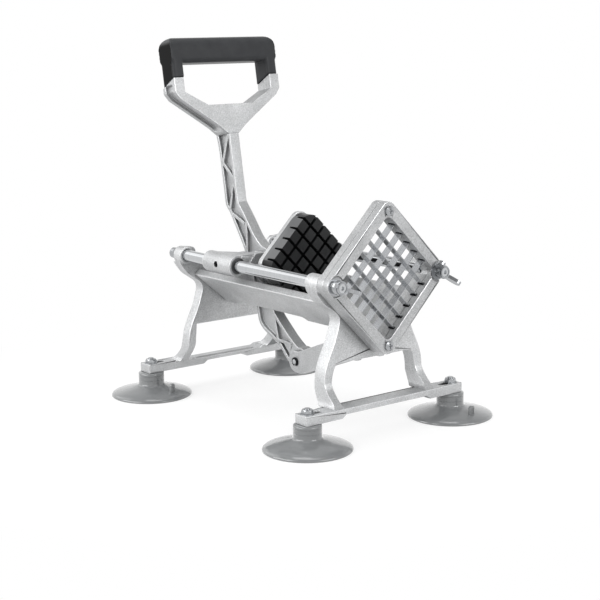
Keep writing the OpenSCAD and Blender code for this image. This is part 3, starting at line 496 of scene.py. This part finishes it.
# each cup is screwed up until it is tight, so its tab stops where it happens to
for node, tab_turn in (("cup_front_left", 0), ("cup_front_right", 128), ("cup_rear_left", 60),
                       ("cup_rear_right", 13)):
    low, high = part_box(node)
    under_stud = ((low[0] + high[0]) / 2, (low[1] + high[1]) / 2, 0)
    piece = joined(*[placed_copy(part, under_stud, turn=(0, 0, tab_turn)) for part in (cup, tab)])
    bpy.ops.object.shade_smooth_by_angle(angle=math.radians(38))
    piece.name = node + "_shown"
    stand_for(piece, node, cup_pvc)
bpy.data.objects.remove(cup)
bpy.data.objects.remove(tab)

# ---------- carriage and pusher plate ----------
# The casting that slides on the rods and carries the lever's pivot, and the plate that backs
# the pusher. Die-cast aluminium, tumbled; the plate is screwed to the carriage's stand-offs.

# satin grey, a little darker than the open frames: painted shade
casting = cast_finish("tumbled_cast_aluminium", "#a4a5a6", "#d2d3d4")
for node, arris_mm in (("carriage", 0.4), ("pusher_plate", 0.5)):
    stand_for(rounded_copy(node, arris_mm), node, casting)

# ---------- lever and link ----------
# The hand lever, a ribbed I section that opens into a yoke, and the link that ties its foot to
# the front casting. Die-cast aluminium, each turning on a steel pin with retaining rings.

# the darkest of the castings: painted shade, for webs that lie in the shade of the ribs
shaded_casting = cast_finish("shaded_cast_aluminium", "#9a9b9c", "#c8c9ca")
for node, arris_mm in (("lever", 0.6), ("link", 0.7)):
    stand_for(rounded_copy(node, arris_mm), node, shaded_casting)

# ---------- pusher block ----------
# The block of six by six square pins that presses the food through the blades, with grooves
# that clear them. Black nylon, moulded in one piece with draft, screwed on from behind.
low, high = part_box("pusher_block")
pins_each_way = 6
pin_pitch, groove = blade_pitch, 1.8
pin_length, pin_draft, pin_root = 9.1, 0.5, 0.3
block_half, corner_radius = 37.1, 15
pin_wide = pin_pitch - groove


def block_bar(x0, x1):
    """A square bar along X with the block's round corners."""
    side = 2 * block_half * MM
    bar = add_box((x1 - x0, side, side), ((x0 + x1) / 2, 0, 0))
    bpy.ops.object.mode_set(mode="EDIT")
    pick_edges(bar, lambda one, other: abs(one.x - other.x) > 1 * MM)
    bpy.ops.mesh.bevel(offset=corner_radius * MM, segments=10, affect="EDGES")
    bpy.ops.object.mode_set(mode="OBJECT")
    return bar


groove_floor = high[0] - pin_length * MM
block = block_bar(low[0], groove_floor)
# what the pins' outer sides and corners end at, longer than the block
outline = block_bar(low[0] - 1 * MM, high[0] + 1 * MM)
# one pin with its draft, whose root reaches a little into the block
pin = add_box((high[0] - groove_floor + pin_root * MM, pin_wide * MM, pin_wide * MM))
tip_share = 1 - 2 * pin_draft / pin_wide
bpy.ops.object.mode_set(mode="EDIT")
pick_faces(pin, lambda centre, normal: normal.x > 0.9)
bpy.ops.transform.resize(value=(1, tip_share, tip_share))
bpy.ops.object.mode_set(mode="OBJECT")

# the outer rows of pins end at the block's sides
rows = []
for row in range(pins_each_way):
    start = (row - pins_each_way / 2) * pin_pitch + groove / 2
    start, stop = max(start, -block_half), min(start + pin_wide, block_half)
    rows.append(((start + stop) / 2 * MM, (stop - start) / pin_wide))
pin_x = (groove_floor - pin_root * MM + high[0]) / 2
pins = joined(*[placed_copy(pin, (pin_x, y, z), stretch=(1, wide, tall))
                for y, wide in rows for z, tall in rows])
bpy.data.objects.remove(pin)
modify(pins, "BOOLEAN", operation="INTERSECT", solver="EXACT", object=outline)
bpy.data.objects.remove(outline)
joined(block, pins)
modify(block, "BEVEL", width=0.8 * MM, segments=3, limit_method="ANGLE",
       angle_limit=math.radians(40))
modify(block, "TRIANGULATE")
stand_on_corner(block)
shade_flats_and_curves(block)

# black with a low satin gloss and a fine moulded grain, drawn coarser so that it shows
nylon = moulded_finish("moulded_black_nylon", "#141516", "#202122", 0.3, grain_mm=1.0, shine=0.3)


def finish_where(tree, here, colour, rough):
    """Gives a material another colour and roughness where the socket here is 1."""
    shader = tree.nodes["Principled BSDF"]
    tone, gloss = [shader.inputs[name].links[0].from_socket for name in ("Base Color", "Roughness")]
    tone = add(tree, "Mix", [("Factor", here), (COLOUR_A, tone), (COLOUR_B, linear(colour))],
               data_type="RGBA")
    gloss = add(tree, "Mix", [("Factor", here), (NUMBER_A, gloss), (NUMBER_B, rough)])
    tree.links.new(tone.outputs[COLOUR_OUT], shader.inputs["Base Color"])
    tree.links.new(gloss.outputs[NUMBER_OUT], shader.inputs["Roughness"])


# the block's four outer sides are painted lighter grey, a painted sheen, and made glossier; a side
# is where the distances along Y and along Z from the axis add up to the half width times the square
# root of two
tree = nylon.node_tree
place = add(tree, "SeparateXYZ", [(0, add(tree, "TexCoord").outputs["Object"])])
facing = add(tree, "SeparateXYZ", [(0, add(tree, "NewGeometry").outputs["Normal"])])
rise = add(tree, "Math", [(0, place.outputs["Z"]), (1, axis_height)], operation="SUBTRACT")
rise = add(tree, "Math", [(0, rise.outputs[0])], operation="ABSOLUTE")
sway = add(tree, "Math", [(0, place.outputs["Y"])], operation="ABSOLUTE")
out = add(tree, "Math", [(0, rise.outputs[0]), (1, sway.outputs[0])], operation="ADD")
side_at = block_half * math.sqrt(2) * MM
out = add(tree, "MapRange", [("Value", out.outputs[0]), ("From Min", side_at - 1.3 * MM),
                             ("From Max", side_at - 0.9 * MM)])
sideways = add(tree, "MapRange", [("Value", facing.outputs["X"]), ("From Min", 0.35),
                                  ("From Max", 0.15)])
painted_sheen = add(tree, "Math", [(0, out.outputs[0]), (1, sideways.outputs[0])],
             operation="MULTIPLY")
finish_where(tree, painted_sheen.outputs[0], "#646566", 0.16)
block.name = "pusher_block_shown"
stand_for(block, "pusher_block", nylon)

# ---------- bushings ----------
# Plain bearings in the carriage's two sleeves, so that it slides on the rods without grease.
# Turned from grey acetal and held by the set screws.

# mid grey and waxy, with fine tool marks in its gloss, drawn coarser so that they show
acetal = moulded_finish("turned_grey_acetal", "#5e5f60", "#6c6d6e", 0.35, grain_mm=0.8)
dress_node("bushings", acetal)

# ---------- grip ----------
# The D-shaped hand grip: a round-topped bar on two arms that take the ends of the lever's yoke.
# Black vinyl moulded in one piece, soft at every edge.
grip = cad_copy("grip")
modify(grip, "REMESH", mode="VOXEL", voxel_size=0.7 * MM)
modify(grip, "SMOOTH", factor=0.5, iterations=3)
bpy.ops.object.shade_smooth()

# dark grey with a dull skin and a fine moulded grain, drawn coarser so that it shows
vinyl = moulded_finish("moulded_black_vinyl", "#353638", "#47484a", 0.3, grain_mm=0.8, shine=0.1)
# its two flanks are painted near black, a painted dark reflection, and made glossier; outward only,
# so that the facing and the place lie on the same side of the middle
tree = vinyl.node_tree
facing = add(tree, "SeparateXYZ", [(0, add(tree, "NewGeometry").outputs["Normal"])])
place = add(tree, "SeparateXYZ", [(0, add(tree, "TexCoord").outputs["Object"])])
painted_dark_flank = add(tree, "Math", [(0, facing.outputs["Y"]), (1, place.outputs["Y"])],
            operation="MULTIPLY")
grip_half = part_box("grip")[1][1]
painted_dark_flank = add(tree, "MapRange", [("Value", painted_dark_flank.outputs[0]), ("From Min", 0.8 * grip_half),
                               ("From Max", 0.95 * grip_half)])
finish_where(tree, painted_dark_flank.outputs[0], "#050606", 0.1)
stand_for(grip, "grip", vinyl)

# ---------- studio ----------
# A white paper sweep: the floor near the cutter keeps its shadow, and the paper farther
# out and all round is plain white. Overhead the room is darker.
floor_wide, floor_drop = 8, 0.2 * MM
shadow_near, shadow_far = 0.1, 0.42
bpy.ops.object.select_all(action="DESELECT")
bpy.ops.mesh.primitive_plane_add(size=floor_wide, location=(0, 0, -floor_drop))
floor = bpy.context.active_object
floor.name = "studio_floor"

# matt paper, with no grain that could show at this distance
paper, tree, shader, place = finish_named("white_paper_sweep")
shader.inputs["Roughness"].default_value = 0.9
shader.inputs["Base Color"].default_value = linear("#989898")
plain_white = add(tree, "Emission", [("Color", (1, 1, 1, 1)), ("Strength", 1.0)])
near_glow = add(tree, "Emission", [("Color", (1, 1, 1, 1)), ("Strength", 0.68)])
far = add(tree, "VectorMath", [(0, place)], operation="LENGTH")
far = add(tree, "MapRange", [("Value", far.outputs["Value"]), ("From Min", shadow_near),
                             ("From Max", shadow_far)], interpolation_type="SMOOTHSTEP")
ray = add(tree, "LightPath")
seen = add(tree, "Math", [(0, ray.outputs["Is Camera Ray"]), (1, ray.outputs["Is Glossy Ray"])],
           operation="MAXIMUM")
seen = add(tree, "Math", [(0, seen.outputs[0]), (1, ray.outputs["Is Transmission Ray"])],
           operation="MAXIMUM")
lit = add(tree, "AddShader", [(0, shader.outputs[0]), (1, near_glow.outputs[0])])
near = add(tree, "MixShader", [(0, seen.outputs[0]), (1, shader.outputs[0]), (2, lit.outputs[0])])
share = add(tree, "Math", [(0, seen.outputs[0]), (1, far.outputs[0])], operation="MULTIPLY")
sweep = add(tree, "MixShader", [(0, share.outputs[0]), (1, near.outputs[0]),
                                (2, plain_white.outputs[0])])
tree.links.new(sweep.outputs[0], tree.nodes["Material Output"].inputs["Surface"])
floor.data.materials.append(paper)

# the ceiling is grey to what reflects it, and the walls down to the floor are white
world = bpy.data.worlds.new("studio")
bpy.context.scene.world = world
world.use_nodes = True
tree = world.node_tree
background = tree.nodes["Background"]
ray = add(tree, "LightPath")
up = add(tree, "SeparateXYZ", [(0, add(tree, "TexCoord").outputs["Generated"])])
ceiling = add(tree, "MapRange", [("Value", up.outputs["Z"]), ("From Min", 0.25),
                                 ("From Max", 0.85), ("To Min", 1.0), ("To Max", 0.38)],
              interpolation_type="SMOOTHSTEP")
mirrored = add(tree, "Math", [(0, ray.outputs["Is Glossy Ray"]),
                              (1, ray.outputs["Is Transmission Ray"])], operation="MAXIMUM")
room_light = 0.6
level = add(tree, "Mix", [("Factor", mirrored.outputs[0]), (NUMBER_A, room_light),
                          (NUMBER_B, ceiling.outputs[0])])
level = add(tree, "Mix", [("Factor", ray.outputs["Is Camera Ray"]),
                          (NUMBER_A, level.outputs[NUMBER_OUT]), (NUMBER_B, 1.0)])
background.inputs["Color"].default_value = (1, 1, 1, 1)
tree.links.new(level.outputs[NUMBER_OUT], background.inputs["Strength"])


def soft_box(name, place, target, size, watts):
    """A rectangular lamp that faces its target."""
    lamp = bpy.data.lights.new(name, "AREA")
    lamp.shape = "RECTANGLE"
    lamp.size, lamp.size_y = size
    lamp.energy = watts
    holder = bpy.data.objects.new(name, lamp)
    bpy.context.collection.objects.link(holder)
    holder.location = place
    holder.rotation_euler = (Vector(target) - Vector(place)).to_track_quat("-Z", "Y").to_euler()


# wide and low on the right, for the long sides; over the cutter, for its tops; behind it and
# dim, as the rods and the pins mirror it; and in front, for the blade frame and the pusher
soft_box("key", (-0.3, -1.35, 0.7), (0, 0, 0.12), (1.6, 1.1), 17)
soft_box("top", (-0.1, 0.1, 1.5), (0, 0, 0.1), (0.8, 0.8), 5)
soft_box("back", (-1.25, -0.4, 1.05), (0, 0, 0.15), (0.9, 0.9), 2.2)
soft_box("front", (1.3, 0.25, 0.6), (0, 0, 0.08), (0.9, 0.7), 7.5)

# the focal length is in pixels of a square frame that is 600 pixels wide
focal_pixels, frame_pixels = 1441.893, 600
lens = bpy.data.cameras.new("camera")
lens.sensor_width = 36
lens.lens = focal_pixels / frame_pixels * lens.sensor_width
lens.clip_end = 20
camera = bpy.data.objects.new("camera", lens)
camera.location = (1.06925, -0.839141, 0.368878)
camera.rotation_euler = [math.radians(angle) for angle in (78.94040, 0.56745, 51.56777)]
bpy.context.collection.objects.link(camera)
bpy.context.scene.camera = camera
bpy.context.scene.view_settings.view_transform = "Standard"
